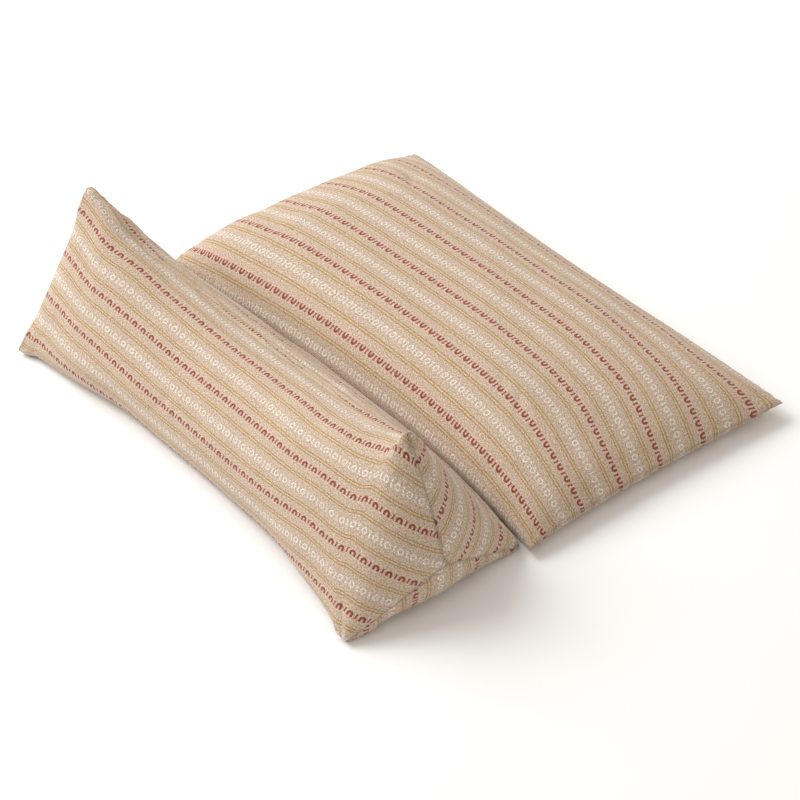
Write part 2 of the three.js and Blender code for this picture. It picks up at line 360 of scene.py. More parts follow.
def sewn(name, grid, held_points, rises, steps, size):
    """A piece of cloth: its grid is filled by the cloth simulation with its seams held, then a grid of half the
    spacing is shifted the same way and gets its folds."""
    points, quads, _, ids = grid(size, steps)
    held = np.zeros(len(points))
    held[held_points(ids[0])] = 1.0
    shift = fill_with_pressure(points, quads, held, size)
    fine = tuple(2 * count for count in steps)
    fine_points, fine_quads, cloth, fine_ids = grid(size, fine)
    fine_shift = np.zeros_like(fine_points)
    for few, many in zip(ids, fine_ids):
        fine_shift[many.ravel()] = finer(shift[few]).reshape(-1, 3)
    piece = cloth_object(name, fine_points + fine_shift, fine_quads, cloth)
    dress(piece, *rises(size, fine))
    return piece


# Flat cushion

EDGE_POWER = 2.2
JOINT_DRAW_IN, JOINT_DRAW_SKEW = 0.008, 0.9
FAR_DRAW_IN, RIGHT_DRAW_IN = 0.010, 0.006
LEFT_FULLNESS, RIGHT_FULLNESS = 7.0, 3.6
JOINT_FULLNESS, FAR_FULLNESS = 6.0, 2.6
CORNER_DROOP, CORNER_DROOP_POWER = 0.007, 8
CUSHION_STEPS = (140, 80)
# A panel's points without those of its seam
INNER = (slice(1, -1), slice(1, -1))
# How much of the grid's spacing is even
EVEN_SHARE = 0.45
# Where the stripes lie: the factors in cushion_cloth, where its right end sets in and is full, and the first loops
STRIPES_NEAR, STRIPES_ACROSS, STRIPES_STRETCH = (0.12, -0.42), (6.12, 0.17, 0.6), (0.85, -1.7)
RIGHT_PART = (0.65, 1.0)
CUSHION_RED_AT = 0.55
# Soft waves as height, seed, number, shortest and longest, direction and its spread. Puckers as height, pitch, reach
# and seed. The seam's groove as depth and half width.
CUSHION_WAVES = (0.0005, 11, 7, 0.05, 0.12, 1.2, 0.6)
CUSHION_PUCKERS = (0.0007, 0.017, 0.008, 5)
CUSHION_GROOVE = (0.0005, 0.003)
# Folds as start and end, half width, depth and rise beside it, on the upper panel from its left end and joint seam
CUSHION_FOLDS = (
    (20, 30, 90, 16, 8, 1.5, 0.3),
    (430, 20, 495, 50, 9, 1.2, 0.3),
)


def joint_edge(x, length):
    """The joint seam seen from above. With a = 2x / length it is drawn in by
    JOINT_DRAW_IN (1 - |a|^EDGE_POWER)(1 + JOINT_DRAW_SKEW a)."""
    a = 2 * (x - MIDDLE_X) / length
    return JOINT_LINE + JOINT_DRAW_IN * (1 - np.abs(a) ** EDGE_POWER) * (1 + JOINT_DRAW_SKEW * a)


def crowded(steps):
    """Steps from -1 to 1, drawn towards the ends: e t + (1 - e) sin(pi t / 2), where e is EVEN_SHARE."""
    t = np.linspace(-1, 1, steps + 1)
    return EVEN_SHARE * t + (1 - EVEN_SHARE) * np.sin(np.pi / 2 * t)


def cushion_panel(size, steps, upper):
    """One panel as a grid of points. Along and across run from -1 to 1. Seen from above, each side is drawn in
    between the corners by its draw-in times (1 - |t|^EDGE_POWER). The lift is the root of
    (1 - |along|^p)(1 - |across|^q), and the height is the seam's plus crown times lift above, or less drop times
    lift below, where the bed flattens it. The seam droops at the right corner of the joint edge by CORNER_DROOP times
    (along times -across)^CORNER_DROOP_POWER."""
    a, b = np.meshgrid(crowded(steps[0]), crowded(steps[1]), indexing="ij")
    draw_in = np.where(a < 0, 0.0, RIGHT_DRAW_IN) * (1 - np.abs(b) ** EDGE_POWER)
    x = MIDDLE_X + a * (size.length / 2 - draw_in)
    near = joint_edge(MIDDLE_X + a * size.length / 2, size.length)
    far = JOINT_LINE + size.width - FAR_DRAW_IN * (1 - np.abs(a) ** EDGE_POWER)
    y = near + (far - near) * (b + 1) / 2
    end = 1 - np.abs(a) ** np.where(a < 0, LEFT_FULLNESS, RIGHT_FULLNESS)
    side = 1 - np.abs(b) ** np.where(b < 0, JOINT_FULLNESS, FAR_FULLNESS)
    lift = np.sqrt(np.clip(end * side, 0, None))
    to_corner = np.clip(a, 0, None) * np.clip(-b, 0, None)
    seam = size.seam_height - CORNER_DROOP * to_corner ** CORNER_DROOP_POWER
    z = seam + (size.crown if upper else -size.drop) * lift
    return np.stack([x, y, np.maximum(z, 0)], axis=-1)


def cushion_cloth(points, size):
    """Cloth coordinates of a panel: lengthwise the length of the way from the middle row. Crosswise, with s the share
    of the way from the joint seam to the far seam, g = 1 - |a|^EDGE_POWER and r rising from nought to one at the
    right end, the repeat is near + even s + stretch s^4, where near is linear in g, even in g and r, and stretch in
    r: the stripes run straight while the seams draw in, and the filling stretches the far side."""
    along = run_lengths(points, 0)
    along = along - along[len(points) // 2]
    across = run_lengths(points, 1)
    s = across / across[:, -1:]
    a = 2 * (points[:, points.shape[1] // 2, 0] - MIDDLE_X)[:, None] / size.length
    g = 1 - np.clip(np.abs(a), 0, 1) ** EDGE_POWER
    r = smooth_step(*RIGHT_PART, a)
    near = STRIPES_NEAR[0] + STRIPES_NEAR[1] * g
    even = STRIPES_ACROSS[0] + STRIPES_ACROSS[1] * g + STRIPES_ACROSS[2] * r
    stretch = STRIPES_STRETCH[0] + STRIPES_STRETCH[1] * r
    return np.stack([along, (near + even * s + stretch * s ** 4 - CUSHION_RED_AT) * STRIPE_REPEAT], axis=-1)


def cushion_grids(size, steps):
    """Points of both panels, numbered so that they share the points of the seam, with faces and cloth coordinates."""
    upper, under = cushion_panel(size, steps, True), cushion_panel(size, steps, False)
    upper_ids = np.arange(upper[..., 0].size).reshape(upper.shape[:2])
    under_ids = upper_ids.copy()
    under_ids[INNER] = upper_ids.size + np.arange(under_ids[INNER].size).reshape(under_ids[INNER].shape)
    points = np.concatenate([upper.reshape(-1, 3), under[INNER].reshape(-1, 3)])
    upper_quads, upper_place = grid_quads(upper_ids)
    under_quads, under_place = grid_quads(under_ids, flipped=True)
    cloth = np.concatenate([cushion_cloth(upper, size).reshape(-1, 2)[upper_place.ravel()],
                            cushion_cloth(under, size).reshape(-1, 2)[under_place.ravel()]])
    return points, np.concatenate([upper_quads, under_quads]), cloth, (under_ids, upper_ids)


def cushion_held(ids):
    """Numbers of the points on the seam."""
    return np.concatenate([ids[[0, -1]].ravel(), ids[:, [0, -1]].ravel()])


def cushion_folds(size, steps):
    """Rise of every point of the cushion off its smooth shape, and its distance from the seam: the seam sinks in, is
    puckered all round, and soft waves run over the panels."""
    rises, gaps = [], []
    for upper in (True, False):
        panel = cushion_panel(size, steps, upper)
        along, across = run_lengths(panel, 0), run_lengths(panel, 1)
        ends = np.minimum(along, along[-1:] - along)
        sides = np.minimum(across, across[:, -1:] - across)
        gap = np.minimum(ends, sides).ravel()
        way = np.where(ends < sides, across, along).ravel()
        place = np.stack([along.ravel(), across.ravel()], axis=-1)
        rise = ripples(place, *CUSHION_WAVES) * smooth_step(0.0, WAVES_FLAT, gap)
        rise += seam_rise(way, gap, CUSHION_PUCKERS, CUSHION_GROOVE)
        rise -= folds(place, CUSHION_FOLDS if upper else ())
        rises.append(rise.reshape(ends.shape))
        gaps.append(gap.reshape(ends.shape))
    return (np.concatenate([rises[0].ravel(), rises[1][INNER].ravel()]),
            np.concatenate([gaps[0].ravel(), gaps[1][INNER].ravel()]))


class PILLOW_OT_cushion(Operator):
    """Sews the flat cushion: two striped panels filled, with their seam drawn in"""

    bl_idname = "pillow.cushion"
    bl_label = "Flat cushion"

    def execute(self, context):
        piece = sewn("flat_cushion_cloth", cushion_grids, cushion_held, cushion_folds, CUSHION_STEPS,
                     context.scene.pillow_cushion)
        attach(piece, "root")
        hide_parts("flat_cushion")
        return {"FINISHED"}


# Bolster

# One row per cross-section: place along from -1 to 1, front corner y and z, ridge corner y and z, height of the joint
# seam, all in millimetres from the joint line, how sharply the cloth turns at the front, ridge and seam corners, and
# how far the stripes have slipped round the front corner and the ridge, as a share of half a face.
SECTIONS = (
    (-1, -182, 0, -90, 149, 3, 10, 10, 10, 0, 0),
    (-0.93, -188, -4, -90, 151, 7, 3.4, 4.2, 8, 0.03, 0),
    (-0.75, -192, -10, -100, 144, 12, 1.9, 1.5, 5, 0.055, 0.15),
    (-0.45, -187, -18, -103.5, 135, 14, 1.1, 0.85, 4, 0.13, 0.26),
    (-0.2, -184, -22, -103, 130, 14, 1, 0.8, 4, 0.15, 0.27),
    (0, -183, -22, -103.5, 132, 14, 1, 0.8, 4, 0.15, 0.27),
    (0.2, -184, -22, -103, 138, 14, 1, 0.8, 4, 0.15, 0.25),
    (0.45, -186, -18, -101.5, 147, 14, 1.1, 0.95, 4, 0.13, 0.2),
    (0.75, -192, -10, -93.5, 152, 12, 1.7, 1.6, 5, 0.06, 0.12),
    (0.93, -191, -4, -88, 152, 7, 3.4, 3.8, 8, 0.03, 0),
    (1, -183, 0, -88.5, 155, 3, 10, 10, 10, 0, 0),
)
# The front, ridge and seam corner, in half faces round the bolster from where its outline starts
CORNERS = np.array([1, 3, 5])
JOINT_CLEARANCE = 0.0003
# For the left and right end: how far it is rounded over its edges and over the one underneath, how far it bulges, and
# how far the middle of its Y is shifted towards the cushion and down
LEFT_END = (0.014, 0.014, 0.016, 0.0, 0.010)
RIGHT_END = (0.028, 0.016, 0.023, -0.002, 0.005)
ROUNDING_POWER = 0.8
END_FULLNESS = 0.85
EAR_LEAN_START, EAR_LEAN_HEIGHT, EAR_LEAN_POWER = 0.060, 0.150, 1.4
CURVE_SAMPLES = 240
# Steps to a half face, along the tube and over an end
BOLSTER_STEPS = (22, 120, 14)
BOLSTER_REPEATS = 12.5
BOLSTER_RED_AT = 0.5
# How far the stripes lie askew, in repeats: at the left ear, along the right quarter and at the right ear. Then where
# each sets in and is full, in metres along the cloth, the same for the last one from the end, and its reach round it
LEFT_ASKEW, RIGHT_ASKEW, RIGHT_EAR_ASKEW = 0.12, 0.05, 0.24
LEFT_PART, RIGHT_QUARTER, RIGHT_EAR, RIGHT_EAR_END = (-0.11, -0.16), (0.11, 0.17), (0.15, 0.19), (0.26, 0.205)
RIGHT_EAR_REACH = 0.5
# Waves, puckers and groove as for the cushion, and pleats with the place and half width of their band at the ridge
BOLSTER_WAVES = (0.0004, 3, 6, 0.05, 0.11, 1.3, 0.5)
RIDGE_PLEATS = (0.0008, 8, 6, 0.014, 0.030, 1.5, 0.2)
RIDGE_BAND = (0.195, 0.035)
BOLSTER_PUCKERS = (0.0007, 0.015, 0.008, 9)
BOLSTER_GROOVE = (0.0008, 0.004)
# Folds as for the cushion, from the middle along the cloth and the first loops above the front corner round it
BOLSTER_FOLDS = (
    (219, 169, 243, 205, 5, 3, 0.4),
    (219, 122, 231, 140, 3, 1.5, 0.4),
    (218, 80, 243, 101, 3, 1.5, 0.4),
    (227, -4, 249, -43, 4, 2, 0.4),
    (-234, 190, -150, 170, 7, 3.5, 0.5),
    (-207, 203, -105, 182, 6, 2.6, 0.5),
    (-160, 186, -10, 198, 5, 1.8, 0.5),
    (-100, 201, 60, 208, 6, 2.2, 0.5),
    (10, 192, 180, 176, 6, 2.5, 0.5),
    (80, 216, 200, 188, 5, 2, 0.5),
    (120, 165, 210, 158, 5, 1.6, 0.5),
)


def corner_curve(start, corner, end, sharp):
    """Conic from start to end that aims at the corner: ((1 - t)^2 A + 2 w t (1 - t) C + t^2 B) over the sum of its
    weights, for every row at once. A large w brings it close to the corner."""
    t = (np.arange(CURVE_SAMPLES) / CURVE_SAMPLES)[None, :, None]
    a, b, c = (1 - t) ** 2, 2 * sharp[:, None, None] * t * (1 - t), t * t
    return (a * start[:, None] + b * corner[:, None] + c * end[:, None]) / (a + b + c)


def bolster_outlines(at, half_face, size):
    """Outlines (y, z) of the bolster at the places at, each with half_face even steps on every half face. They start
    under the bolster, halfway from the joint seam to the front corner, and their last point repeats the first."""
    table = np.array(SECTIONS)
    row = [table_curve(table[:, 0], table[:, k], at) for k in range(1, table.shape[1])]
    front_y, front_z, ridge_y, ridge_z, seam_z = [v / MILLIMETRES for v in row[:5]]
    front_sharp, ridge_sharp, seam_sharp, front_slip, ridge_slip = row[5:]
    front = np.stack([JOINT_LINE + front_y, front_z], axis=-1)
    ridge = np.stack([JOINT_LINE + ridge_y, ridge_z], axis=-1)
    cushion_length = bpy.context.scene.pillow_cushion.length
    tip_y = joint_edge(MIDDLE_X + at * size.length / 2, cushion_length) - JOINT_CLEARANCE
    weight = seam_sharp[:, None]
    tip = np.stack([tip_y, seam_z], axis=-1)
    seam = (tip * (2 + 2 * weight) - (front + ridge) / 2) / (1 + 2 * weight)
    front_face, back_face, underside = (front + ridge) / 2, (ridge + seam) / 2, (seam + front) / 2
    curve = np.concatenate([
        corner_curve(underside, front, front_face, front_sharp),
        corner_curve(front_face, ridge, back_face, ridge_sharp),
        corner_curve(back_face, seam, underside, seam_sharp),
        underside[:, None],
    ], axis=1)
    curve[..., 1] = np.maximum(curve[..., 1], 0)
    lengths = run_lengths(curve, 1)
    half = CURVE_SAMPLES / 2
    start, front_shift, ridge_shift = 0 * front_slip, CURVE_SAMPLES * front_slip, CURVE_SAMPLES * ridge_slip
    marks = np.stack([start, half - front_shift, start, 3 * half + ridge_shift, start, 5 * half + front_shift,
                      start + 6 * half], axis=-1)
    samples = np.broadcast_to(np.arange(6 * half + 1), lengths.shape)
    stops = look_up(marks, samples, lengths)
    stops[:, 2] = (stops[:, 1] + stops[:, 3]) / 2
    stops[:, 4] = (stops[:, 3] + stops[:, 5]) / 2
    steps = np.arange(6 * half_face + 1) / half_face
    wanted = look_up(np.broadcast_to(steps, (len(at), len(steps))), np.broadcast_to(np.arange(7.0), stops.shape), stops)
    return np.stack([look_up(wanted, lengths, curve[..., 0]), look_up(wanted, lengths, curve[..., 1])], axis=-1)


def lean_ear(points, size):
    """The top right ear leans in: x less lean times (share of the way to the end)^2 times (height share)^power."""
    reach = size.length / 2 - EAR_LEAN_START
    along = np.clip((points[..., 0] - MIDDLE_X - EAR_LEAN_START) / reach, 0, 1)
    high = np.clip(points[..., 2] / EAR_LEAN_HEIGHT, 0, 1)
    points[..., 0] -= size.ear_lean * along ** 2 * high ** EAR_LEAN_POWER
    return points


def bolster_surface(size, steps):
    """The tube as a grid, rows from the left Y seam to the right one, columns round the outline. Along the tube each
    row is an outline, pulled back near the ends by rounding times sin(pi/2 apart)^power, where apart is nought at a
    corner and one in the middle of a face. Over an end, the outline moves to the Y of its three seams by
    1 - cos(angle)^fullness while it moves outwards by sin(angle)^fullness."""
    half_face, tube, end_steps = steps
    halves = np.arange(6 * half_face + 1) / half_face
    corner = CORNERS[np.minimum(halves // 2, 2).astype(int)]
    apart = np.abs(halves - corner)
    at = np.linspace(-1, 1, tube + 1)
    outlines = bolster_outlines(at, half_face, size)
    below = (halves < 1) | (halves > 5)
    shape = np.sin(np.pi / 2 * apart) ** ROUNDING_POWER
    left, right = (np.where(below, end[1], end[0]) * shape for end in (LEFT_END, RIGHT_END))
    x = at[:, None] * (size.length / 2 - np.where(at[:, None] < 0, left, right))
    body = np.concatenate([(MIDDLE_X + x)[..., None], outlines], axis=-1)

    def end_rings(side):
        outline, rounding = (outlines[0], left) if side < 0 else (outlines[-1], right)
        _, _, bulge, shift, drop = LEFT_END if side < 0 else RIGHT_END
        ends = outline[corner * half_face]
        centre = outline[CORNERS * half_face].mean(axis=0) + (shift, -drop)
        on_seam = ends + (centre - ends) * apart[:, None]
        angle = (np.arange(1, end_steps + 1) / end_steps * np.pi / 2)[:, None]
        inwards = 1 - np.clip(np.cos(angle), 0, 1) ** END_FULLNESS
        inwards[-1] = 1
        outwards = np.sin(angle) ** END_FULLNESS
        section = outline + (on_seam - outline) * inwards[..., None]
        reach = size.length / 2 - rounding + (rounding + bulge * apart) * outwards
        return np.concatenate([(MIDDLE_X + side * reach)[..., None], section], axis=-1)

    grid = np.concatenate([end_rings(-1)[::-1], body, end_rings(1)])
    return lean_ear(grid, size), halves


def bolster_ids(rows, half_face, end_steps):
    """Vertex numbers for the tube's grid: the last column is the first, over an end each corner column stays at the
    corner, and on the end rows the columns on both sides of a corner are one, which sews the Y seam shut."""
    columns = 6 * half_face + 1
    ids = np.arange(rows * columns).reshape(rows, columns)
    ids[:, -1] = ids[:, 0]
    for middle in CORNERS * half_face:
        ids[:end_steps, middle] = ids[end_steps, middle]
        ids[-end_steps:, middle] = ids[-end_steps - 1, middle]
        reach = np.arange(1, half_face + 1)
        for row in (0, -1):
            ids[row, middle + reach] = ids[row, middle - reach]
    for row in (0, -1):
        ids[row, [0, 2 * half_face, 4 * half_face, -1]] = ids[row, 0]
    used, numbers = np.unique(ids, return_inverse=True)
    return numbers.reshape(rows, columns), used


def bolster_cloth(grid, halves):
    """Cloth coordinates of the tube: lengthwise the length of the way from its middle row, crosswise the share of
    the way round from the front corner times the number of repeats, less the slant of the stripes near the ends."""
    along = run_lengths(grid, 0)
    along = along - along[len(grid) // 2]
    from_ridge = halves - CORNERS[1]
    ear = smooth_step(*RIGHT_EAR, along) * smooth_step(*RIGHT_EAR_END, along)
    slant = (LEFT_ASKEW * smooth_step(*LEFT_PART, along) * np.exp(-from_ridge ** 2)
             + RIGHT_ASKEW * smooth_step(*RIGHT_QUARTER, along)
             + RIGHT_EAR_ASKEW * ear * np.exp(-(from_ridge / RIGHT_EAR_REACH) ** 2))
    repeats = (halves - 1) / 6 * BOLSTER_REPEATS - slant
    return np.stack([along, (repeats - BOLSTER_RED_AT) * STRIPE_REPEAT], axis=-1)


def bolster_grid(size, steps):
    """The bolster's points, faces, cloth coordinates and vertex numbers. The cloth lies turned half round against the
    cushion's."""
    grid, halves = bolster_surface(size, steps)
    ids, used = bolster_ids(len(grid), steps[0], steps[2])
    quads, place = grid_quads(ids)
    cloth = -bolster_cloth(grid, halves).reshape(-1, 2)[place.ravel()]
    return grid.reshape(-1, 3)[used], quads, cloth, (ids,)


def bolster_folds(size, steps):
    """Rise of every point of the bolster off its smooth shape, and its distance from a seam: drawn folds, soft
    waves, and puckers along the joint seam and over the ends beside their Y seams."""
    grid, halves = bolster_surface(size, steps)
    along, across = run_lengths(grid, 0), run_lengths(grid, 1)
    ends = np.minimum(along, along[-1:] - along)
    joint = np.abs(across - across[:, [CORNERS[2] * steps[0]]])
    gap = np.minimum(ends, joint).ravel()
    way = np.where(ends < joint, across, along).ravel()
    place = bolster_cloth(grid, halves).reshape(-1, 2)
    crest = np.exp(-((place[:, 1] - RIDGE_BAND[0]) / RIDGE_BAND[1]) ** 2)
    rise = ripples(place, *BOLSTER_WAVES) + crest * ripples(place, *RIDGE_PLEATS)
    rise *= smooth_step(0.0, WAVES_FLAT, gap)
    rise += seam_rise(way, gap, BOLSTER_PUCKERS, BOLSTER_GROOVE) - folds(place, BOLSTER_FOLDS)
    _, used = bolster_ids(len(grid), steps[0], steps[2])
    return rise[used], gap[used]


def bolster_held(ids):
    """Numbers of the points on the seams, and over the ends of all within a quarter of a half face of a corner."""
    half_face, _, end_steps = BOLSTER_STEPS
    reach = np.arange(-half_face // 4, half_face // 4 + 1)
    columns = (CORNERS[:, None] * half_face + reach).ravel()
    parts = ids[:end_steps, columns], ids[-end_steps:, columns], ids[[0, -1]], ids[:, CORNERS[2] * half_face]
    return np.concatenate([part.ravel() for part in parts])


class PILLOW_OT_bolster(Operator):
    """Sews the bolster: a striped tube closed at each end in a Y and filled"""

    bl_idname = "pillow.bolster"
    bl_label = "Bolster"

    def execute(self, context):
        piece = sewn("bolster_cloth", bolster_grid, bolster_held, bolster_folds, BOLSTER_STEPS,
                     context.scene.pillow_bolster)
        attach(piece, "root")
        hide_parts("bolster")
        return {"FINISHED"}


# Cloth material


class Graph:
    """Short names for adding nodes to one tree. A value given to a node may be a number or another node's output."""

    def __init__(self, tree):
        self.tree = tree

    def feed(self, sockets, values):
        """Links or sets each named or numbered socket."""
        for key, value in values.items():
            if isinstance(value, bpy.types.NodeSocket):
                self.tree.links.new(value, sockets[key])
            elif value is not None:
                sockets[key].default_value = value

    def node(self, kind, values=None, **settings):
        made = self.tree.nodes.new(kind)
        for key, value in settings.items():
            setattr(made, key, value)
        self.feed(made.inputs, values or {})
        return made

    def math(self, operation, a, b=None):
        return self.node("ShaderNodeMath", {0: a, 1: b}, operation=operation).outputs[0]

    add = partialmethod(math, "ADD")
    sub = partialmethod(math, "SUBTRACT")
    mul = partialmethod(math, "MULTIPLY")
    absolute = partialmethod(math, "ABSOLUTE")

    def least(self, *values):
        return reduce(lambda a, b: self.math("MINIMUM", a, b), values)

    def most(self, *values):
        return reduce(lambda a, b: self.math("MAXIMUM", a, b), values)

    def hypot(self, a, b):
        return self.math("SQRT", self.add(self.mul(a, a), self.mul(b, b)))

    def off(self, value, middle, half):
        """Signed distance from a band: |value - middle| - half."""
        return self.sub(self.absolute(self.sub(value, middle)), half)

    def box(self, along, across, sides):
        """Signed distance from a box, given by its middle and half length along and across."""
        return self.most(self.off(along, *sides[0]), self.off(across, *sides[1]))

    def between(self, value, low, high):
        """Nought at low, one at high, and a smooth step between them."""
        return self.node("ShaderNodeMapRange", {"Value": value, "From Min": low, "From Max": high},
                         interpolation_type="SMOOTHSTEP").outputs[0]

    def inside(self, gap, soft):
        """One where the gap is below nought, nought where it is above, with a soft edge."""
        return self.between(gap, soft, -soft)

    def mix(self, factor, a, b, blend="MIX"):
        return self.node("ShaderNodeMix", {0: factor, 6: a, 7: b}, data_type="RGBA", blend_type=blend).outputs[2]

    def scaled(self, vector, by):
        return self.node("ShaderNodeVectorMath", {0: vector, 1: by}, operation="MULTIPLY").outputs[0]

    def noise(self, vector, stretch, detail=2.0, rough=0.5):
        """Noise over a vector stretched by three factors."""
        return self.node("ShaderNodeTexNoise", {"Vector": self.scaled(vector, stretch), "Scale": 1.0,
                                                "Detail": detail, "Roughness": rough}).outputs["Fac"]


def new_group(name, numbers, outputs):
    """An empty shader node group that takes cloth coordinates and named numbers and gives named numbers, as (tree,
    graph, its inputs, the two cloth coordinates, where its outputs go)."""
    tree = bpy.data.node_groups.new(name, "ShaderNodeTree")
    tree.interface.new_socket("Cloth", in_out="INPUT", socket_type="NodeSocketVector")
    for label, default in numbers.items():
        tree.interface.new_socket(label, in_out="INPUT", socket_type="NodeSocketFloat").default_value = default
    for label in outputs:
        tree.interface.new_socket(label, in_out="OUTPUT", socket_type="NodeSocketFloat")
    g = Graph(tree)
    given = g.node("NodeGroupInput").outputs
    parts = g.node("ShaderNodeSeparateXYZ", {0: given["Cloth"]}).outputs
    return tree, g, given, parts[:2], g.node("NodeGroupOutput").inputs


# The woven figures, in millimetres on the cloth. How far the row of loops lies off its stripe's middle, then a loop's
# middle radius, half thickness, start of the arch and end of the legs
ROW_SHIFT = 0.8
LOOP_RADIUS, LOOP_HALF, LOOP_ARCH, LOOP_LEGS = 1.95, 1.08, 0.2, 2.5
# The bar between loops: middle, half length, lean, half width at the waist, how much wider its ends are, and how far
# from its middle it starts and stops widening
BAR_MIDDLE, BAR_LENGTH, BAR_LEAN, BAR_WAIST, BAR_WIDER, BAR_WIDENS = -0.3, 2.3, 0.12, 0.75, 0.45, (1.2, 2.0)
# The ring: squeeze along and across, middle radius and half thickness
RING_SQUEEZE, RING_RADIUS, RING_HALF = (0.98, 0.88), 2.1, 0.66
# The bar between rings, its head and its foot: middle and half length along, then across
STEM, HEAD, FOOT = ((0, 0.66), (0, 2.9)), ((-0.75, 1.25), (2.4, 0.55)), ((0.35, 1.1), (-2.5, 0.45))
# The pair of lines: place in the repeat, a line's middle and half width off the pair's middle, half width of the
# straw between them. Half width of the tinted ground along a row, and how soft all edges are
PAIR_AT, LINE, BETWEEN_HALF, BAND_HALF = 0.251, (1.32, 0.5), 1.5, 3.6
FIGURE_EDGE, LINE_EDGE, BETWEEN_EDGE, BAND_EDGE = 0.42, 0.4, 0.5, 0.9
# How uneven the figures are, and the noises that they waver and jitter by, as stretch per metre and detail
UNEVEN = 0.9
WAVER, JITTER_ALONG, JITTER_ACROSS = ((90, 40, 0), 2.0), ((900, 900, 0), 1.0), ((830, 950, 7), 1.0)

# The weave: noises as stretch per metre, detail and roughness, and how the twill's is sized and turned first
YARNS_PER_METRE = 1400.0
WARP_SLUB, WEFT_SLUB = ((110, 1500, 0), 2.0, 0.6), ((1500, 130, 3), 2.0, 0.6)
TWILL_SIZE, TWILL_TURN, TWILL = (620, 620, 0), 0.9, ((1.6, 0.45, 1.0), 2.0, 0.6)
MOTTLE = ((38, 52, 4), 3.0, 0.55)
# The flecks: noise, and the values at which a fleck starts and is full
FLECKS = {
    "Mauve": (((520, 740, 9), 2.0, 0.7), 0.45, 0.60),
    "Sage": (((740, 520, 21), 2.0, 0.7), 0.48, 0.63),
    "Speckle": (((640, 860, 13), 2.0, 0.8), 0.40, 0.60),
}
# How high everything stands, as a share of the bump's distance
YARN_RISE, SLUB_RISE, TWILL_RISE, FIGURE_RISE, LINE_RISE = 0.35, 0.3, 0.35, 0.5, 0.25

# The colours laid over the ground in turn: mask, setting, how far it covers, and how much further where a slub is
LAYERS = (
    ("Mauve", "mauve", 0.85), ("Sage", "sage", 0.8), ("Blush", "blush", 0.45), ("Pale", "pale", 0.35),
    ("Between", "straw", 0.8), ("Lines", "ochre", 0.5, "Warp slub", 0.7), ("Rings", "white", 0.55, "Weft slub", 0.7),
    ("Loops", "red", 0.7, "Weft slub", 0.5),
)
# What darkens the colours: painted shade where the weave lies low, from Height, and random tone from Speckle and
# Mottle. For each, the part of the weave, the factor where it is nought, and the rise to where it is one
PAINTED_SHADE_AND_TONE = (("Height", 0.80, 0.36), ("Speckle", 0.66, 0.58), ("Mottle", 0.94, 0.12))
# Painted shade in the crease along every seam: how much it darkens the colour where the cloth meets the seam
SEAM_SHADE = 0.3
BUMP = {"Strength": 0.6, "Distance": 0.0004}
SURFACE = {"Roughness": 0.92, "Sheen Weight": 0.15, "Sheen Roughness": 0.6, "Specular IOR Level": 0.25}


def stripe_group():
    """Masks of the woven stripes. Lengthwise the figures repeat at the pitch, crosswise the stripes repeat. Every
    figure is drawn from distances in millimetres: a loop is the distance from an arch, a ring from a circle, a bar
    from a box."""
    tree, g, given, (x, y), out = new_group("Woven stripes", {"Repeat": STRIPE_REPEAT, "Pitch": FIGURE_PITCH},
                                            ("Loops", "Rings", "Lines", "Between", "Blush", "Pale"))
    x, y, repeat, pitch = (g.mul(length, MILLIMETRES) for length in (x, y, given["Repeat"], given["Pitch"]))
    waver, jitter_along, jitter_across = (g.mul(g.sub(g.noise(given["Cloth"], *noise), 0.5), UNEVEN)
                                          for noise in (WAVER, JITTER_ALONG, JITTER_ACROSS))
    along, across = g.add(x, jitter_along), g.add(g.add(y, waver), jitter_across)

    def centred(value, period, shift):
        """Signed distance to the nearest multiple of the period, counted from the shift."""
        turn = g.math("FRACT", g.add(g.math("DIVIDE", value, period), 0.5 - shift))
        return g.mul(g.sub(turn, 0.5), period)

    t, w = centred(across, repeat, 0.0), centred(across, repeat, 0.5)
    s, h = centred(along, pitch, 0.0), centred(along, pitch, 0.5)
    row = g.add(t, ROW_SHIFT)
    arch = g.hypot(s, g.least(g.sub(row, LOOP_ARCH), 0.0))
    loop = g.most(g.off(arch, LOOP_RADIUS, LOOP_HALF), g.sub(row, LOOP_LEGS))
    from_bar = g.absolute(g.sub(row, BAR_MIDDLE))
    bar_half = g.add(BAR_WAIST, g.mul(g.between(from_bar, *BAR_WIDENS), BAR_WIDER))
    bar = g.most(g.off(h, g.mul(row, BAR_LEAN), bar_half), g.sub(from_bar, BAR_LENGTH))
    circle = g.hypot(g.mul(s, RING_SQUEEZE[0]), g.mul(w, RING_SQUEEZE[1]))
    white = g.least(g.off(circle, RING_RADIUS, RING_HALF), *(g.box(h, w, sides) for sides in (STEM, HEAD, FOOT)))
    pair = g.absolute(g.sub(g.absolute(t), g.mul(repeat, PAIR_AT)))
    g.feed(out, {
        "Loops": g.inside(g.least(loop, bar), FIGURE_EDGE),
        "Rings": g.inside(white, FIGURE_EDGE),
        "Lines": g.inside(g.off(pair, *LINE), LINE_EDGE),
        "Between": g.inside(g.sub(pair, BETWEEN_HALF), BETWEEN_EDGE),
        "Blush": g.inside(g.off(row, 0.0, BAND_HALF), BAND_EDGE),
        "Pale": g.inside(g.off(w, 0.0, BAND_HALF), BAND_EDGE),
    })
    return tree


